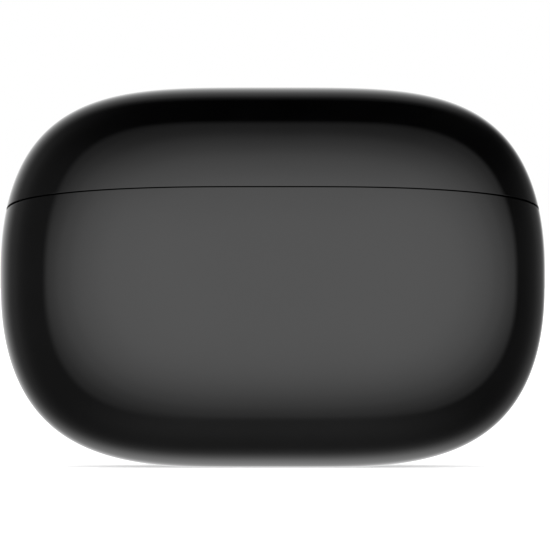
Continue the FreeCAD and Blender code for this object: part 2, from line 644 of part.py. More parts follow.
def make_light():
    under = "-deck_drop - deck_thick - pipe_drop"
    led_low = under + " - led_height"
    length = "deck_thick + pipe_drop"
    node("light_pipe", turned("light_pipe", [(0, 0), ("pipe_radius", 0), ("pipe_radius", length),
                                             (0, length)], 0, "pipe_y", under, "Z", SEAM))
    node("status_led", plate("status_led", ("-led_half_x", "led_half_x"),
                             ("pipe_y - led_half_y", "pipe_y + led_half_y"), (led_low, under), frame=SEAM))
    along = block("light_flex_along", ("-flex_half", "flex_half"), ("pipe_y - 2 * led_half_y", "flex_bend"),
                  (led_low + " - flex_thick", led_low), SEAM)
    down = block("light_flex_down", ("-flex_half", "flex_half"), ("flex_foot", "flex_foot + flex_thick"),
                 ("board_high", "flex_top"))
    node("light_flex", fuse("light_flex", [along, down]))


# ---------------------------------------------------------------- spring contacts

SPRING_TURNS = 5


def make_contacts(side, sign):
    """Contact board of one pocket with its two barrels, plungers and springs."""
    low = "contact_board + contact_board_thick"
    centre = "%d * well_x" % sign
    node("contact_board_" + side, plate(
        "contact_board_" + side, (centre + " - contact_board_half_x", centre + " + contact_board_half_x"),
        ("head_y - contact_board_half_y", "head_y + contact_board_half_y"), ("contact_board", low)))
    tail = ("tail_start", "tail_end") if sign > 0 else ("-tail_end", "-tail_start")
    node("contact_flex_" + side, plate("contact_flex_" + side, tail,
                                       ("head_y - tail_half", "board_front + tail_half"),
                                       ("contact_board - flex_thick", "contact_board")))
    bore = "plunger_radius + plunger_gap"
    depth = "barrel_top - (%s)" % low
    rise = "plunger_tip - plunger_foot"
    barrels = []
    for which, word in ((-1, "a"), (1, "b")):
        tag = "%s_%s" % (side, word)
        x = "%s + %d * contact_pitch / 2" % (centre, which)
        barrels.append(turned("barrel_" + tag, [
            (0, 0), ("barrel_radius", 0), ("barrel_radius", depth), (bore, depth), (bore, "barrel_floor"),
            (0, "barrel_floor")], x, "head_y", low))
        node("contact_spring_" + tag, contact_spring("contact_spring_" + tag, x, low))
        node("contact_plunger_" + tag, turned("contact_plunger_" + tag, [
            (0, 0), ("plunger_radius", 0), ("plunger_radius", rise + " - plunger_radius / 2"),
            ("plunger_radius / 2", rise), (0, rise)], x, "head_y", "plunger_foot"))
    node("contact_barrels_" + side, group("contact_barrels_" + side, barrels))


def contact_spring(name, x, low):
    """Compression coil between the bottom of a barrel and the foot of its plunger."""
    mean, wire = 0.38, 0.08
    start = "%s + barrel_floor + %s" % (low, wire)
    height = value("plunger_foot - (%s) - %s" % (start, wire))
    obj = doc.addObject("Part::Feature", name)
    obj.Shape = coil(mean, wire, height / SPRING_TURNS, SPRING_TURNS)
    place(obj, LEVEL, x, "head_y", start)
    return obj


# ---------------------------------------------------------------- build, check and write

def main():
    make_base_shell()
    make_cradle()
    make_mid_frame()
    make_screws()
    make_hinge()
    make_hinge_springs()
    make_magnets()
    make_main_board()
    make_battery()
    make_port()
    make_button()
    make_light()
    make_contacts("left", -1)
    make_contacts("right", 1)
    make_lid_shell()
    make_lid_liner()
    doc.recompute()
    for obj in doc.Objects:
        if "Invalid" in obj.State or "Error" in obj.State:
            raise RuntimeError("%s failed: %s" % (obj.Name, obj.State))
    for obj in nodes:
        if obj.Shape.isNull() or not obj.Shape.isValid() or not obj.Shape.Solids:
            raise RuntimeError("%s has no sound shape" % obj.Label)
    os.makedirs("parts", exist_ok=True)
    for obj in nodes:
        obj.Shape.exportStep(os.path.join("parts", obj.Label + ".step"))
        print("%-28s %2d solid(s) %9.2f mm3" % (obj.Label, len(obj.Shape.Solids), obj.Shape.Volume))


main()
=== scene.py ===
"""Looks of the closed, glossy black charging case for wireless earbuds, built round its CAD frame.

Lengths are in metres in the frame's own axes: +Z up, the front faces -Y, the hinge is at +Y.
"""
import json
import math

import bpy
import numpy as np
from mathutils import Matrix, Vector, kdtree


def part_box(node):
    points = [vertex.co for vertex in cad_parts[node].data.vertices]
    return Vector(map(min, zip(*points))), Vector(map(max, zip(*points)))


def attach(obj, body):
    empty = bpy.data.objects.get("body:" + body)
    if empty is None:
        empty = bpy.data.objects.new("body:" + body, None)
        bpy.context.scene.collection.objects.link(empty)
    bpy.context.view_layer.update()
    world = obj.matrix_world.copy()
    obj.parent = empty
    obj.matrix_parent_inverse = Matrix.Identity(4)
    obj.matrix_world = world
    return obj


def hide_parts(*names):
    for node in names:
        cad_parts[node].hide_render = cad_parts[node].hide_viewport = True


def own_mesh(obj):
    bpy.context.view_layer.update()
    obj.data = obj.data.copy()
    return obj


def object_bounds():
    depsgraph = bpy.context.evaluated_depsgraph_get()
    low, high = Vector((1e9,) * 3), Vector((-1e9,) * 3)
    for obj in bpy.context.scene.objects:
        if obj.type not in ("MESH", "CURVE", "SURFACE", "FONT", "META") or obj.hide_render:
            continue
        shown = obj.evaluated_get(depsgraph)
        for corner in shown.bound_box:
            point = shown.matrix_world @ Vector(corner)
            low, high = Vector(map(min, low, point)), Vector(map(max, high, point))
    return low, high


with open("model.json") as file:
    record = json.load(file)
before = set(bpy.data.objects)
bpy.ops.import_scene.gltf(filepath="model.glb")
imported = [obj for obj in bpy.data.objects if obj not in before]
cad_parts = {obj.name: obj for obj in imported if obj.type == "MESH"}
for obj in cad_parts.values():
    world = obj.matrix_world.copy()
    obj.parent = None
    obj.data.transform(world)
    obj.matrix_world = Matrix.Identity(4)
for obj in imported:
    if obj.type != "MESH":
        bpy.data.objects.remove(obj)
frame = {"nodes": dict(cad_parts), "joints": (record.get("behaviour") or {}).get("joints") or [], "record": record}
CAD_LOW, CAD_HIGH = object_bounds()
MM = 0.001

# ---------------------------------------------------------------- the case's form

# The form is cut flat under the foot, and FOOT_BLEND rounds the edge of the cut. The foot is a little
# narrower than the CAD's, which is widened to stand on a slope.
FOOT_CUT = 0.2 * MM
FOOT_BLEND = 0.05 * MM
SIDE_POWER, CROWN_POWER, FOOT_POWER = 2.64, 3.73, 3.5
DEPTH_POWER = 2.5
WALL = 1.5 * MM
SEAM_TILT = math.radians(13)
# The gap at the seam is SEAM_GAP at the front and the back, and wider by SEAM_SPREAD at the sides.
SEAM_GAP, SEAM_SPREAD = 0.08 * MM, 0.26 * MM
SPREAD_POWER = 8

NORMAL_STEP = 2e-6
HIGHEST_RISE = 1.4
LONGEST_REACH = 0.06
HALVINGS = 44

HALF = np.array([(CAD_HIGH.x - CAD_LOW.x) / 2, (CAD_HIGH.y - CAD_LOW.y) / 2,
                 (CAD_HIGH.z + FOOT_CUT) / 2])
CENTRE = np.array([0.0, 0.0, CAD_HIGH.z - HALF[2]])

HINGE = np.array(next(joint for joint in frame["joints"] if joint["name"] == "lid_hinge")["pos_m"])
ACROSS, BACK, UP = np.eye(3)
BACKWARD = np.array([0.0, math.cos(SEAM_TILT), -math.sin(SEAM_TILT)])
SEAM_UP = np.array([0.0, math.sin(SEAM_TILT), math.cos(SEAM_TILT)])


def unit(vectors):
    return vectors / np.linalg.norm(vectors, axis=-1, keepdims=True)


def over_seam(points):
    """Height of points over the seam plane, square to it."""
    return (points - HINGE) @ SEAM_UP


class Pillow:
    """The outer form less an inset: one front outline that shrinks towards the front and the back."""

    def __init__(self, inset=0.0):
        self.half = HALF - inset

    def measure(self, points):
        """0 at the centre and 1 on the surface."""
        x, y, z = np.moveaxis((points - CENTRE) / self.half, -1, 0)
        angle = np.arctan2(z, x)
        side, rise = np.abs(np.cos(angle)), np.abs(np.sin(angle))
        power = SIDE_POWER * side ** 2 + np.where(z > 0, CROWN_POWER, FOOT_POWER) * rise ** 2
        front = np.hypot(x, z) * (side ** power + rise ** power) ** (1 / power)
        return (front ** DEPTH_POWER + np.abs(y) ** DEPTH_POWER) ** (1 / DEPTH_POWER)

    def normals(self, points):
        slopes = [self.measure(points + NORMAL_STEP * axis) - self.measure(points - NORMAL_STEP * axis)
                  for axis in (ACROSS, BACK, UP)]
        return unit(np.stack(slopes, axis=-1))

    def spot(self, turn, rise):
        """Point on the surface, by its turn about Z and its rise from the middle, both in radians."""
        away = self.half * np.stack([np.cos(rise) * np.cos(turn), np.cos(rise) * np.sin(turn),
                                     np.sin(rise)], axis=-1)
        return CENTRE + away / self.measure(CENTRE + away)[..., None]

    def rise_at(self, turn, height):
        """Rise at which the surface passes a height over the seam plane."""
        low, high = np.full_like(turn, -HIGHEST_RISE), np.full_like(turn, HIGHEST_RISE)
        for _ in range(HALVINGS):
            middle = (low + high) / 2
            above = over_seam(self.spot(turn, middle)) > height
            low, high = np.where(above, low, middle), np.where(above, middle, high)
        return (low + high) / 2

    def reach(self, starts, direction):
        """Where rays from points inside leave the surface."""
        near, far = np.zeros(len(starts)), np.full(len(starts), LONGEST_REACH)
        for _ in range(HALVINGS):
            middle = (near + far) / 2
            outside = self.measure(starts + middle[:, None] * direction) > 1
            near, far = np.where(outside, near, middle), np.where(outside, middle, far)
        return starts + near[:, None] * direction


OUTER = Pillow()
INNER = Pillow(WALL)


# ---------------------------------------------------------------- mesh helpers

WELD_WITHIN = 1e-6
ON_SURFACE, SAME_SPOT = 4e-6, 2e-7
SAME_FACING = 0.9


def add_object(name, points, faces):
    mesh = bpy.data.meshes.new(name)
    mesh.from_pydata([tuple(point) for point in points], [], faces)
    mesh.validate()
    piece = bpy.data.objects.new(name, mesh)
    bpy.context.scene.collection.objects.link(piece)
    return piece


def lofted(name, loops, start=None, end=None):
    """Quads between loops of equally many points. start and end close it: a point, or True for flat."""
    count = len(loops[0])
    points = [point for loop in loops for point in loop]
    faces = []
    for row in range(len(loops) - 1):
        here, there = row * count, (row + 1) * count
        for column in range(count):
            following = (column + 1) % count
            faces.append((here + column, here + following, there + following, there + column))
    for cap, first, order in ((start, 0, -1), (end, (len(loops) - 1) * count, 1)):
        rim = [first + column for column in range(count)][::order]
        if cap is True:
            faces.append(tuple(rim))
        elif cap is not None:
            points.append(cap)
            tip = len(points) - 1
            faces += [(rim[column], rim[(column + 1) % count], tip) for column in range(count)]
    return add_object(name, points, faces)


def applied(piece):
    """Bakes a piece's modifiers into its mesh."""
    bpy.context.view_layer.update()
    graph = bpy.context.evaluated_depsgraph_get()
    mesh = bpy.data.meshes.new_from_object(piece.evaluated_get(graph))
    piece.modifiers.clear()
    piece.data = mesh
    return piece


def carve(piece, cutters):
    """Subtracts closed cutters from a closed piece, and removes them."""
    for cutter in cutters:
        modifier = piece.modifiers.new("carve", "BOOLEAN")
        modifier.object = cutter
        modifier.operation = "DIFFERENCE"
        modifier.solver = "EXACT"
    applied(piece)
    for cutter in cutters:
        bpy.data.objects.remove(cutter)


def shaded(piece, degrees=35):
    """Smooth shading that stays sharp at edges above an angle."""
    mesh = piece.data
    mesh.polygons.foreach_set("use_smooth", [True] * len(mesh.polygons))
    mesh.set_sharp_from_angle(angle=math.radians(degrees))
    return piece


def set_exact_normals(piece, points, normals):
    """Gives a carved piece the exact normals of its form, where its faces still follow it."""
    shaded(piece)
    mesh = piece.data
    tree = kdtree.KDTree(len(points))
    for index, point in enumerate(points):
        tree.insert(point, index)
    tree.balance()
    spots = np.array([vertex.co for vertex in mesh.vertices])
    on_outer = np.abs(OUTER.measure(spots) - 1) * HALF.min() < ON_SURFACE
    known = OUTER.normals(spots)
    for index, spot in enumerate(spots):
        _, nearest, distance = tree.find(spot)
        if distance < SAME_SPOT:
            known[index] = normals[nearest]
        elif not on_outer[index]:
            known[index] = 0
    corners = np.array([corner.vector for corner in mesh.corner_normals])
    for polygon in mesh.polygons:
        flat = np.array(polygon.normal)
        for loop in polygon.loop_indices:
            exact = known[mesh.loops[loop].vertex_index]
            if exact @ flat > SAME_FACING:
                corners[loop] = exact
    mesh.normals_split_custom_set([tuple(corner) for corner in corners])


def add_weld(piece):
    """Joins the split vertices of a CAD mesh."""
    piece.modifiers.new("weld", "WELD").merge_threshold = WELD_WITHIN


def copied(name, node):
    """New welded object with the mesh of a CAD node."""
    piece = bpy.data.objects.new(name, frame["nodes"][node].data.copy())
    bpy.context.scene.collection.objects.link(piece)
    add_weld(piece)
    return piece


def settle(piece, body, slot, *nodes):
    """A finished new piece: its material, the body it rides on and the CAD nodes it stands for."""
    piece.data.materials.clear()
    piece.data.materials.append(materials[slot])
    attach(piece, body)
    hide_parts(*nodes)


# ---------------------------------------------------------------- outer shells

COLUMNS = 288
OUTER_ROWS, INNER_ROWS, EDGE_STEPS = 96, 40, 5
EDGE_RADIUS = 0.07 * MM
# Half a column off the axes, which keeps the cutters' edges off the vertices.
TURNS = (np.arange(COLUMNS) + 0.5) * 2 * math.pi / COLUMNS


def footed(points, normals):
    """Flattens the underside into the land that the case stands on."""
    height = points[..., 2].copy()
    root = np.sqrt(height ** 2 + FOOT_BLEND ** 2)
    slope = (1 + height / root)[..., None] / 2
    points[..., 2] = (height + root) / 2
    normals = unit(np.concatenate([normals[..., :2] * slope, normals[..., 2:]], axis=-1))
    return points, normals


def rounded_edge(first, corner, last, first_normal, last_normal):
    """Small curve from one surface round a corner to another, with its normals."""
    for step in range(1, EDGE_STEPS):
        share = step / EDGE_STEPS
        points = ((1 - share) ** 2 * first + 2 * share * (1 - share) * corner + share ** 2 * last)
        yield points, unit((1 - share) * first_normal + share * last_normal)


def shell(name, side):
    """Thick half of the pillow, with a flat rim at the seam: the base for side -1, the lid for side 1.

    Returns the piece, and its points with their exact normals.
    """
    face = side / 2 * (SEAM_GAP + SEAM_SPREAD * np.cos(TURNS) ** SPREAD_POWER)
    pole = side * math.pi / 2
    rows, normals = [], []

    def add(points, row_normals):
        rows.append(points)
        normals.append(row_normals)

    rim_normal = np.broadcast_to(-side * SEAM_UP, (COLUMNS, 3))
    top = OUTER.rise_at(TURNS, face + side * EDGE_RADIUS)
    for row in range(1, OUTER_ROWS + 1):
        points = OUTER.spot(TURNS, pole + (top - pole) * row / OUTER_ROWS)
        row_normals = OUTER.normals(points)
        if side < 0:
            points, row_normals = footed(points, row_normals)
        add(points, row_normals)
    corner = OUTER.spot(TURNS, OUTER.rise_at(TURNS, face))
    edge_in = Pillow(EDGE_RADIUS)
    rim_out = edge_in.spot(TURNS, edge_in.rise_at(TURNS, face))
    for points, row_normals in rounded_edge(rows[-1], corner, rim_out, normals[-1], rim_normal):
        add(points, row_normals)
    add(rim_out, rim_normal)
    edge_out = Pillow(WALL - EDGE_RADIUS)
    rim_in = edge_out.spot(TURNS, edge_out.rise_at(TURNS, face))
    add(rim_in, rim_normal)
    corner = INNER.spot(TURNS, INNER.rise_at(TURNS, face))
    bottom = INNER.rise_at(TURNS, face + side * EDGE_RADIUS)
    wall_top = INNER.spot(TURNS, bottom)
    wall_normal = -INNER.normals(wall_top)
    for points, row_normals in rounded_edge(rim_in, corner, wall_top, rim_normal, wall_normal):
        add(points, row_normals)
    for row in range(INNER_ROWS, 0, -1):
        points = INNER.spot(TURNS, pole + (bottom - pole) * row / INNER_ROWS)
        add(points, -INNER.normals(points))
    poles = [form.spot(np.zeros(1), np.full(1, pole))[0] for form in (OUTER, INNER)]
    if side < 0:
        poles[0][2] = rows[0][0][2]
    piece = lofted(name, rows, start=poles[0], end=poles[1])
    if side < 0:
        piece.data.flip_normals()
    exact = [np.concatenate(rows + [poles]), np.concatenate(normals + [[side * UP, -side * UP]])]
    return piece, exact


ARC_STEPS, SPACING = 12, 0.6 * MM
LIP, LIP_STEPS = 0.14 * MM, 4
OVERSHOOT = 0.4 * MM


def rounded_outline(half_u, half_v, radius, grow):
    """Points (u, v) of a rectangle with round corners, grown outwards by a margin."""
    points = []
    straight_u, straight_v = half_u - radius, half_v - radius
    radius = radius + grow
    for quarter in range(4):
        sign_u, sign_v = ((1, 1), (-1, 1), (-1, -1), (1, -1))[quarter]
        centre = np.array([sign_u * straight_u, sign_v * straight_v])
        for step in range(ARC_STEPS + 1):
            angle = math.pi / 2 * (quarter + step / ARC_STEPS)
            points.append(centre + radius * np.array([math.cos(angle), math.sin(angle)]))
        run = 2 * (straight_u if quarter % 2 == 0 else straight_v)
        if run == 0:
            points.pop()
            continue
        along = np.array([(-1, 0), (0, -1), (1, 0), (0, 1)][quarter], float)
        inner_points = int(run / SPACING)
        last = points[-1]
        for step in range(1, inner_points):
            points.append(last + along * run * step / inner_points)
    return np.array(points)


def opening(name, half_u, half_v, radius, centre, axes, depth, surface):
    """Closed cutter for a hole through the shell. A lip that follows the surface rounds its edge."""
    u_axis, v_axis, out = axes
    steps = [(LIP, OVERSHOOT), (LIP, 0.0)]
    for step in range(1, LIP_STEPS + 1):
        angle = math.pi / 2 * step / LIP_STEPS
        steps.append((LIP * (1 - math.sin(angle)), -LIP * (1 - math.cos(angle))))
    steps.append((0.0, -depth))
    loops = []
    for grow, offset in steps:
        flat = rounded_outline(half_u, half_v, radius, grow)
        starts = centre + flat[:, :1] * u_axis + flat[:, 1:] * v_axis
        loops.append(surface(starts, out) + offset * out)
    return lofted(name, loops, start=True, end=True)


SLOT_HALF, SLOT_RISE, SLOT_ROUND = 17.8 * MM, 1.8 * MM, 0.6 * MM
SLOT_INSIDE, SLOT_DEPTH = 6 * MM, 4.2 * MM
PORT_HALF_WIDTH, PORT_HALF_HEIGHT, PORT_DEPTH = 4.57 * MM, 1.73 * MM, 4 * MM
BUTTON_LOW, BUTTON_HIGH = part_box("pairing_button")
BUTTON_AXIS = np.array([0.0, 0.0, (BUTTON_LOW.z + BUTTON_HIGH.z) / 2])
HOLE_RADIUS, HOLE_DEPTH = 2.72 * MM, 3 * MM


def onto_foot(starts, out):
    """The flat land under the case, straight below."""
    points = starts.copy()
    points[:, 2] = 0
    return points


def hinge_opening():
    middle = HINGE - SLOT_INSIDE * BACKWARD
    return opening("hinge_opening", SLOT_HALF, SLOT_RISE, SLOT_ROUND, middle,
                   (ACROSS, SEAM_UP, BACKWARD), SLOT_DEPTH, OUTER.reach)


def outer_shells():
    base, exact = shell("base_shell_polished", -1)
    port = opening("port_opening", PORT_HALF_WIDTH, PORT_HALF_HEIGHT, PORT_HALF_HEIGHT, CENTRE,
                   (ACROSS, BACK, -UP), PORT_DEPTH, onto_foot)
    hole = opening("button_opening", HOLE_RADIUS, HOLE_RADIUS, HOLE_RADIUS, BUTTON_AXIS,
                   (ACROSS, UP, BACK), HOLE_DEPTH, OUTER.reach)
    carve(base, [hinge_opening(), port, hole])
    set_exact_normals(base, *exact)
    lid, exact = shell("lid_shell_polished", 1)
    carve(lid, [hinge_opening()])
    set_exact_normals(lid, *exact)
    for piece, body, node in ((base, "root", "base_shell"), (lid, "lid", "lid_shell")):
        settle(piece, body, "shell_gloss_black", node)


# ---------------------------------------------------------------- smaller pieces

CAP_RADIUS, FLANGE_RADIUS, STEM_RADIUS = 2.6 * MM, 3.2 * MM, 0.85 * MM
CAP_EDGE, CAP_INSET = 0.16 * MM, 0.1 * MM
CAP_COLUMNS, CAP_RINGS, CAP_EDGE_STEPS = 96, 16, 5
SEAT = BUTTON_LOW.y
FLANGE_START, FLANGE_END = SEAT + 0.5 * MM, SEAT + 1.1 * MM
CRADLE_GRAIN, LINER_GRAIN = 0.3 * MM, 0.22 * MM
SMOOTH_FACTOR, SMOOTH_ROUNDS = 0.5, 6
BEVEL_ANGLE = math.radians(35)


def button_cap():
    """Round cap that follows the back of the case, with the flange and the stem behind it."""
    trim = Pillow(CAP_INSET)
    turns = np.arange(CAP_COLUMNS) * 2 * math.pi / CAP_COLUMNS
    ring = np.stack([np.cos(turns), np.zeros(CAP_COLUMNS), np.sin(turns)], axis=-1)

    def on_back(radius, sink=0.0):
        return trim.reach(BUTTON_AXIS + radius * ring, BACK) - sink * BACK

    def flat(radius, y):
        return BUTTON_AXIS + radius * ring + y * BACK

    loops = [on_back((CAP_RADIUS - CAP_EDGE) * step / CAP_RINGS) for step in range(1, CAP_RINGS + 1)]
    for step in range(1, CAP_EDGE_STEPS + 1):
        angle = math.pi / 2 * step / CAP_EDGE_STEPS
        loops.append(on_back(CAP_RADIUS - CAP_EDGE * (1 - math.sin(angle)),
                             CAP_EDGE * (1 - math.cos(angle))))
    loops += [flat(CAP_RADIUS, FLANGE_END), flat(FLANGE_RADIUS, FLANGE_END),
              flat(FLANGE_RADIUS, FLANGE_START), flat(STEM_RADIUS, FLANGE_START),
              flat(STEM_RADIUS, SEAT)]
    piece = lofted("pairing_button_cap", loops, start=trim.reach(BUTTON_AXIS[None], BACK)[0],
                   end=BUTTON_AXIS + SEAT * BACK)
    settle(shaded(piece, degrees=40), "button", "button_gloss_black", "pairing_button")


def moulded(name, body, slot, node, grain):
    """Plastic moulding with softly rounded edges, in place of a sharp CAD node."""
    piece = copied(name, node)
    remesh = piece.modifiers.new("even_mesh", "REMESH")
    remesh.mode, remesh.voxel_size = "VOXEL", grain
    smooth = piece.modifiers.new("soften", "SMOOTH")
    smooth.factor, smooth.iterations = SMOOTH_FACTOR, SMOOTH_ROUNDS
    settle(shaded(applied(piece), degrees=180), body, slot, node)


def contact_springs():
    """Welded copies of the coils whose CAD nodes the record scales along Z as their plungers are pressed."""
    for joint in frame["record"]["behaviour"]["joints"]:
        for part in joint.get("deforming_nodes", []):
            if part["mode"] != "scale_z":
                continue
            piece = copied(part["node"] + "_coil", part["node"])
            settle(shaded(applied(piece), degrees=60), "root", "spring_steel", part["node"])
            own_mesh(piece)


def broken_edges(node, width):
    """Small bevels on the sharp edges of a CAD node that stays."""
    piece = frame["nodes"][node]
    add_weld(piece)
    bevel = piece.modifiers.new("break_edges", "BEVEL")
    bevel.width, bevel.segments = width, 2
    bevel.limit_method, bevel.angle_limit = "ANGLE", BEVEL_ANGLE
    bevel.harden_normals = True


# Widths in millimetres.
EDGE_BREAKS = {
    "hinge_base_bracket": 0.08, "hinge_lid_brackets": 0.08, "usb_c_shell": 0.08, "usb_c_tongue": 0.05,
    "mid_frame": 0.1, "main_pcb": 0.04, "battery_cell": 0.3, "battery_foam_pad": 0.15,
    "charger_ic": 0.05, "microcontroller": 0.05, "power_inductor": 0.1, "battery_connector": 0.08,
    "tact_switch": 0.08, "lid_bumpers": 0.1, "light_pipe": 0.05,
    "chassis_screws": 0.05, "hinge_base_screws": 0.05, "hinge_lid_screws": 0.05,
    "base_magnets": 0.08, "lid_magnets": 0.08, "earbud_magnets": 0.1,
}


def small_pieces():
    button_cap()
    moulded("cradle_moulding", "root", "inner_satin_black", "cradle", CRADLE_GRAIN)
    moulded("lid_liner_moulding", "lid", "inner_satin_black", "lid_liner", LINER_GRAIN)
    contact_springs()
    for node, width in EDGE_BREAKS.items():
        broken_edges(node, width * MM)


# ---------------------------------------------------------------- materials

class Finish:
    """A node material: a Principled shader with a few helpers that add detail to its sockets."""

    def __init__(self, name, **uniform):
        self.material = bpy.data.materials.new(name)
        self.material.use_nodes = True
        self.tree = self.material.node_tree
        self.shader = self.tree.nodes["Principled BSDF"]
        self.where = self.add("ShaderNodeTexCoord").outputs["Object"]
        for socket, number in uniform.items():
            self.shader.inputs[socket.replace("_", " ")].default_value = number

    def add(self, kind, **settings):
        node = self.tree.nodes.new(kind)
        for key, setting in settings.items():
            setattr(node, key, setting)
        return node

    def link(self, source, target):
        self.tree.links.new(source, target)

    def noise(self, size, detail=3.0, stretch=(1, 1, 1), distortion=0.0):
        """Noise whose features are about size metres, longer along an axis by its stretch."""
        mapping = self.add("ShaderNodeMapping")
        mapping.inputs["Scale"].default_value = [1 / (size * factor) for factor in stretch]
        self.link(self.where, mapping.inputs["Vector"])
        texture = self.add("ShaderNodeTexNoise")
        texture.inputs["Scale"].default_value = 1
        texture.inputs["Detail"].default_value = detail
        texture.inputs["Distortion"].default_value = distortion
        self.link(mapping.outputs["Vector"], texture.inputs["Vector"])
        return texture.outputs["Fac"]

    def spread(self, source, low, high, start=0.3, end=0.7):
        """A value remapped to run between low and high."""
        remap = self.add("ShaderNodeMapRange", interpolation_type="SMOOTHSTEP")
        limits = {"From Min": start, "From Max": end, "To Min": low, "To Max": high}
        for socket, number in limits.items():
            remap.inputs[socket].default_value = number
        self.link(source, remap.inputs["Value"])
        return remap.outputs["Result"]

    def colours(self, source, stops):
        """Colour ramp: stops are (position, (r, g, b))."""
        ramp = self.add("ShaderNodeValToRGB")
        elements = ramp.color_ramp.elements
        while len(elements) < len(stops):
            elements.new(0.5)
        for element, (position, colour) in zip(elements, stops):
            element.position = position
            element.color = (*colour, 1)
        self.link(source, ramp.inputs["Fac"])
        self.link(ramp.outputs["Color"], self.shader.inputs["Base Color"])

    def rough(self, source):
        self.link(source, self.shader.inputs["Roughness"])

    def bump(self, source, strength, depth):
        bump = self.add("ShaderNodeBump")
        bump.inputs["Strength"].default_value = strength
        bump.inputs["Distance"].default_value = depth
        self.link(source, bump.inputs["Height"])
        before = self.shader.inputs["Normal"].links
        if before:
            self.link(before[0].from_socket, bump.inputs["Normal"])
        self.link(bump.outputs["Normal"], self.shader.inputs["Normal"])


def tinted(colour, factor):
    return tuple(min(1.0, channel * factor) for channel in colour)


def polished(name, colour):
    """Piano-black moulding: a mirror finish with faint polishing haze and hairlines."""
    finish = Finish(name, IOR=1.5)
    finish.colours(finish.noise(7 * MM, 4), [(0.35, tinted(colour, 0.04)), (0.7, tinted(colour, 0.09))])
    haze = finish.spread(finish.noise(3 * MM, 5, (1.6, 1, 0.8)), 0.03, 0.06)
    hairlines = finish.spread(finish.noise(0.5 * MM, 2, (14, 14, 0.5)), 0.0, 0.02, start=0.62, end=0.75)
    total = finish.add("ShaderNodeMath", operation="ADD")
    finish.link(haze, total.inputs[0])
    finish.link(hairlines, total.inputs[1])
    finish.rough(total.outputs["Value"])
    finish.bump(finish.noise(1.4 * MM, 1), strength=0.03, depth=0.002 * MM)
    return finish.material


def satin(name, colour):
    """Fine spark-eroded grain on a moulded part."""
    finish = Finish(name, IOR=1.47)
    finish.colours(finish.noise(5 * MM, 5), [(0.3, tinted(colour, 0.8)), (0.7, tinted(colour, 1.25))])
    finish.rough(finish.spread(finish.noise(0.6 * MM, 4), 0.38, 0.52))
    finish.bump(finish.noise(0.12 * MM, 3), strength=0.25, depth=0.012 * MM)
    finish.bump(finish.noise(0.35 * MM, 2), strength=0.12, depth=0.01 * MM)
    return finish.material


def brushed(name, colour):
    """Metal with fine lines along the case's width."""
    finish = Finish(name, Metallic=1.0, Anisotropic=0.35)
    lines = finish.noise(0.09 * MM, 4, (12, 1, 1))
    finish.colours(lines, [(0.3, tinted(colour, 0.85)), (0.7, tinted(colour, 1.15))])
    finish.rough(finish.spread(lines, 0.24, 0.42))
    finish.bump(lines, strength=0.2, depth=0.004 * MM)
    return finish.material


def plated(name, colour):
    """Bright plating with faint pits and stains."""
    finish = Finish(name, Metallic=1.0)
    finish.colours(finish.noise(1.2 * MM, 5), [(0.3, tinted(colour, 0.88)), (0.7, colour)])
    finish.rough(finish.spread(finish.noise(0.4 * MM, 4), 0.12, 0.26))
    finish.bump(finish.noise(0.15 * MM, 3), strength=0.12, depth=0.004 * MM)
    return finish.material


def soft_rubber(name, colour):
    """Rubber, foam or silicone: dull, with a powdery sheen."""
    finish = Finish(name, IOR=1.45, Sheen_Weight=0.15)
    finish.colours(finish.noise(1.5 * MM, 5), [(0.3, tinted(colour, 0.8)), (0.7, tinted(colour, 1.2))])
    finish.rough(finish.spread(finish.noise(0.3 * MM, 4), 0.6, 0.78))
    finish.bump(finish.noise(0.1 * MM, 4), strength=0.3, depth=0.015 * MM)
    return finish.material


def solder_mask(name, colour):
    """Circuit board: glossy mask with darker gaps between copper areas."""
    finish = Finish(name, IOR=1.5)
    cells = finish.add("ShaderNodeTexVoronoi", distance="CHEBYCHEV", feature="DISTANCE_TO_EDGE")
    cells.inputs["Scale"].default_value = 1 / (1.1 * MM)
    finish.link(finish.where, cells.inputs["Vector"])
    edge = cells.outputs["Distance"]
    finish.colours(edge, [(0.02, tinted(colour, 0.6)), (0.08, tinted(colour, 1.3))])
    finish.rough(finish.spread(finish.noise(0.5 * MM, 3), 0.22, 0.34))
    finish.bump(edge, strength=0.2, depth=0.01 * MM)
    return finish.material


def foil(name, colour):
    """Creased laminate of a battery pouch."""
    finish = Finish(name, Metallic=0.9)
    finish.colours(finish.noise(2 * MM, 5, distortion=1.0), [(0.3, tinted(colour, 0.8)), (0.7, colour)])
    finish.rough(finish.spread(finish.noise(1 * MM, 4), 0.3, 0.5))
    finish.bump(finish.noise(1.6 * MM, 4, distortion=2.0), strength=0.4, depth=0.05 * MM)
    return finish.material


def milky(name, colour):
    """Translucent moulding that lets light through."""
    finish = Finish(name, IOR=1.5, Transmission_Weight=0.35)
    finish.colours(finish.noise(0.5 * MM, 4), [(0.3, tinted(colour, 0.9)), (0.7, colour)])
    finish.rough(finish.spread(finish.noise(0.2 * MM, 3), 0.15, 0.3))
    finish.bump(finish.noise(0.1 * MM, 2), strength=0.08, depth=0.004 * MM)
    return finish.material


FINISHES = {
    "shell_gloss_black": polished, "button_gloss_black": polished,
    "inner_satin_black": satin, "frame_plastic": satin, "chip_package": satin,
    "capacitor_ceramic": satin, "connector_plastic": satin, "tongue_plastic": satin, "flex_film": satin,
    "hinge_steel": brushed, "pin_steel": brushed, "spring_steel": brushed, "port_steel": brushed,
    "screw_steel": plated, "magnet_nickel": plated, "contact_gold": plated,
    "board_mask": solder_mask, "battery_foil": foil,
    "foam_pad": soft_rubber, "bumper_rubber": soft_rubber,
    "lead_red": soft_rubber, "lead_black": soft_rubber,
    "light_pipe_clear": milky, "led_package": milky,
}
materials = {}
for entry in frame["record"]["materials"]:
    materials[entry["slot"]] = FINISHES[entry["slot"]](entry["slot"], tuple(entry["base_color"][:3]))


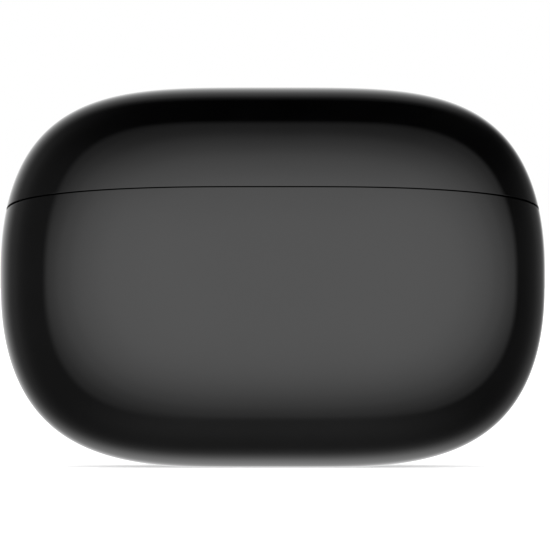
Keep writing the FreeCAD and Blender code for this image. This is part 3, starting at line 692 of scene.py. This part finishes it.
def paint_nodes():
    """Every CAD node that stays gets the material of its slot."""
    slots = {part["node"]: part["material_slot"] for part in frame["record"]["subparts"]}
    for name, node in frame["nodes"].items():
        for place in node.material_slots:
            place.material = materials[slots[name]]


# ---------------------------------------------------------------- studio

DISTANCE, FRAME_WIDTH, SENSOR_WIDTH = 0.9, 63.84 * MM, 36
ASIDE, ABOVE = 0.26 * MM, 0.22 * MM
NEAREST, FARTHEST = 0.01, 100
FLOOR_HALF, FLOOR_GLOW = 12.0, 0.55
LAMP_SIZE, LAMP_POWER = 0.6, 1.5
LAMP_PLACE = (-0.15, -0.25, 0.8)


def add_camera():
    """Long lens level with the middle of the case, square to its front."""
    camera = bpy.data.objects.new("camera", bpy.data.cameras.new("camera"))
    bpy.context.scene.collection.objects.link(camera)
    bpy.context.scene.camera = camera
    camera.data.sensor_width = SENSOR_WIDTH
    camera.data.lens = SENSOR_WIDTH * DISTANCE / FRAME_WIDTH
    camera.location = (ASIDE, -DISTANCE, (CAD_LOW.z + CAD_HIGH.z) / 2 + ABOVE)
    camera.rotation_euler = (math.pi / 2, 0, 0)
    camera.data.clip_start, camera.data.clip_end = NEAREST, FARTHEST


def add_floor():
    """Plain pale floor. The gloss doesn't show it: the studio's own surroundings show there instead."""
    corners = [(FLOOR_HALF * x, FLOOR_HALF * y, 0) for x, y in ((-1, -1), (1, -1), (1, 1), (-1, 1))]
    floor = add_object("floor", corners, [(0, 1, 2, 3)])
    finish = Finish("floor")
    finish.colours(finish.noise(40 * MM, 3), [(0.3, (0.93, 0.93, 0.93)), (0.7, (0.95, 0.95, 0.95))])
    finish.rough(finish.spread(finish.noise(10 * MM, 3), 0.85, 0.95))
    finish.shader.inputs["Specular IOR Level"].default_value = 0.0
    finish.shader.inputs["Emission Strength"].default_value = FLOOR_GLOW
    finish.shader.inputs["Emission Color"].default_value = (1, 1, 1, 1)
    floor.data.materials.append(finish.material)
    floor.visible_glossy = False


# What the camera sees behind the case, what lights its dull parts, and the top of the ramps below.
BACKDROP, AMBIENT, PEAK = 1.0, 1.0, 2.5
# The lean in degrees at which the card ends, on each side.
CARD_REACH = {"left": 30.0, "right": 38.5, "up": 36.5, "down": 28.5}
# How square the card's outline is, and the lines of equal brightness inside it: 2 is an ellipse.
CARD_POWER, FALL_POWER = 1.75, 1.33
# Brightness from the card's middle outwards: (share of the reach, level).
CARD_FALL = {
    "up": [(0, 2.18), (0.2, 2.08), (0.4, 1.73), (0.6, 1.08), (0.8, 0.46), (1.0, 0.2), (1.5, 0.1)],
    "rest": [(0, 2.18), (0.3, 2.16), (0.5, 1.94), (0.7, 1.45), (0.85, 1.02), (1.0, 0.6), (1.2, 0.34),
             (1.5, 0.2)],
}
# Below the middle, how much of the fall is the "up" one.
LOW_FALL_SHARE = 0.35
# Brightness past the card, the dark flags first: (lean in degrees, level).
AROUND_CARD = {
    "left": [(0, 0.24), (40, 0.16), (50, 0.27), (60, 0.44), (70, 0.95), (78, 1.1), (84, 1.15)],
    "right": [(0, 0.12), (45, 0.1), (60, 0.2), (75, 0.36), (80, 0.7), (84, 1.15)],
    "up": [(0, 0), (56, 0), (62, 0.2), (70, 0.58), (78, 0.95), (84, 1.15)],
    "down": [(0, 0.33), (35, 0.28), (49, 0.2), (56, 0.5), (64, 1.05), (75, 0.95), (84, 1.15)],
}
# The share of that brightness lost midway between two sides, and the lean over which the loss fades.
CORNER_DIM = {("up", "right"): 0.85, ("down", "right"): 0.4, ("down", "left"): 0.3}
DIM_GONE, DIM_FULL = 82, 66
# The card gives way to what is round it between these shares of its reach.
CARD_ENDS, FLAGS_START = 0.95, 1.06
TINY = 1e-9


class WorldNodes:
    """Short ways to write arithmetic in the world's node tree."""

    def __init__(self, tree):
        self.tree = tree

    def connect(self, node, items):
        for socket, item in zip(node.inputs, items):
            if isinstance(item, (int, float, tuple)):
                socket.default_value = item
            else:
                self.tree.links.new(item, socket)
        return node

    def math(self, operation, *items):
        node = self.tree.nodes.new("ShaderNodeMath")
        node.operation = operation
        return self.connect(node, items).outputs[0]

    def vector(self, operation, *items):
        node = self.tree.nodes.new("ShaderNodeVectorMath")
        node.operation = operation
        return self.connect(node, items).outputs[0]

    def total(self, items):
        items = list(items)
        result = items[0]
        for item in items[1:]:
            result = self.math("ADD", result, item)
        return result

    def step(self, source, start, end):
        """Smooth rise from 0 at start to 1 at end."""
        node = self.tree.nodes.new("ShaderNodeMapRange")
        node.interpolation_type = "SMOOTHSTEP"
        return self.connect(node, [source, start, end]).outputs[0]

    def curve(self, source, stops):
        """Smooth curve through (position, level) stops."""
        span = stops[-1][0]
        node = self.tree.nodes.new("ShaderNodeValToRGB")
        node.color_ramp.interpolation = "CARDINAL"
        elements = node.color_ramp.elements
        while len(elements) < len(stops):
            elements.new(0.5)
        for element, (position, level) in zip(elements, stops):
            element.position = position / span
            element.color = (level / PEAK, level / PEAK, level / PEAK, 1)
        self.tree.links.new(self.math("DIVIDE", source, span), node.inputs["Fac"])
        return self.math("MULTIPLY", self.math("MAXIMUM", node.outputs["Color"], 0.0), PEAK)


def add_surroundings():
    """The studio as the gloss sees it: a wide soft card in front that fades outwards, dark flags round
    it and a pale backdrop behind. What faces a level camera in front is laid out by lean, the angle in
    degrees between a surface that shows it and the camera's own direction."""
    world = bpy.data.worlds.new("studio")
    bpy.context.scene.world = world
    world.use_nodes = True
    world.node_tree.nodes.clear()
    build = WorldNodes(world.node_tree)
    new = world.node_tree.nodes.new

    direction = new("ShaderNodeTexCoord").outputs["Generated"]
    facing = build.vector("NORMALIZE", build.vector("SUBTRACT", direction, (0, 1, 0)))
    split = build.connect(new("ShaderNodeSeparateXYZ"), [facing])
    x, y, z = split.outputs
    lean = build.math("ARCCOSINE", build.math("MULTIPLY", y, -1.0))
    lean = build.math("MULTIPLY", lean, math.degrees(1))
    squares = [build.math("MULTIPLY", x, x), build.math("MULTIPLY", z, z), TINY]
    around = build.math("SQRT", build.total(squares))
    sideways, upwards = build.math("DIVIDE", x, around), build.math("DIVIDE", z, around)
    towards = {"left": build.math("MULTIPLY", sideways, -1.0), "right": sideways,
               "up": upwards, "down": build.math("MULTIPLY", upwards, -1.0)}
    towards = {side: build.math("MAXIMUM", share, 0.0) for side, share in towards.items()}
    weight = {side: build.math("MULTIPLY", share, share) for side, share in towards.items()}

    def card_share(power):
        """Distance from the card's middle as a share of its reach, which differs on its four sides."""
        parts = [build.math("POWER", build.math("MULTIPLY", build.math("MULTIPLY", lean, share),
                                                1 / CARD_REACH[side]), power)
                 for side, share in towards.items()]
        return build.math("POWER", build.total(parts), 1 / power)

    fall = card_share(FALL_POWER)
    fast = build.total([weight["up"], build.math("MULTIPLY", weight["down"], LOW_FALL_SHARE)])
    card = build.total([build.math("MULTIPLY", build.curve(fall, CARD_FALL["up"]), fast),
                        build.math("MULTIPLY", build.curve(fall, CARD_FALL["rest"]),
                                   build.math("SUBTRACT", 1.0, fast))])
    outside = build.total(build.math("MULTIPLY", build.curve(lean, stops), weight[side])
                          for side, stops in AROUND_CARD.items())
    # Two weights' product is a quarter at most, midway between their sides.
    losses = []
    for (first, second), loss in CORNER_DIM.items():
        between = build.math("MULTIPLY", weight[first], weight[second])
        losses.append(build.math("MULTIPLY", between, 4 * loss))
    dim = build.math("MULTIPLY", build.total(losses), build.step(lean, DIM_GONE, DIM_FULL))
    outside = build.math("MULTIPLY", outside, build.math("SUBTRACT", 1.0, dim))
    past = build.step(card_share(CARD_POWER), CARD_ENDS, FLAGS_START)
    shown = build.total([build.math("MULTIPLY", card, build.math("SUBTRACT", 1.0, past)),
                         build.math("MULTIPLY", outside, past)])

    paths = new("ShaderNodeLightPath").outputs
    seen, scattered = paths["Is Camera Ray"], paths["Is Diffuse Ray"]
    mirrored = build.math("MAXIMUM", build.math("SUBTRACT", 1.0, build.total([seen, scattered])), 0.0)
    strength = build.total([build.math("MULTIPLY", seen, BACKDROP),
                            build.math("MULTIPLY", scattered, AMBIENT),
                            build.math("MULTIPLY", shown, mirrored)])
    background = build.connect(new("ShaderNodeBackground"), [(1, 1, 1, 1), strength])
    build.connect(new("ShaderNodeOutputWorld"), [background.outputs[0]])


def add_light():
    """Soft light from above for the floor and the satin parts."""
    lamp = bpy.data.objects.new("soft_light", bpy.data.lights.new("soft_light", "AREA"))
    bpy.context.scene.collection.objects.link(lamp)
    lamp.data.shape = "DISK"
    lamp.data.size = LAMP_SIZE
    lamp.data.energy = LAMP_POWER
    lamp.location = LAMP_PLACE
    lamp.rotation_euler = (-lamp.location).to_track_quat("-Z", "Y").to_euler()
    lamp.visible_camera = False
    lamp.visible_glossy = False


bpy.context.scene.view_settings.view_transform = "Standard"
add_camera()
add_surroundings()
add_light()
add_floor()
paint_nodes()
outer_shells()
small_pieces()
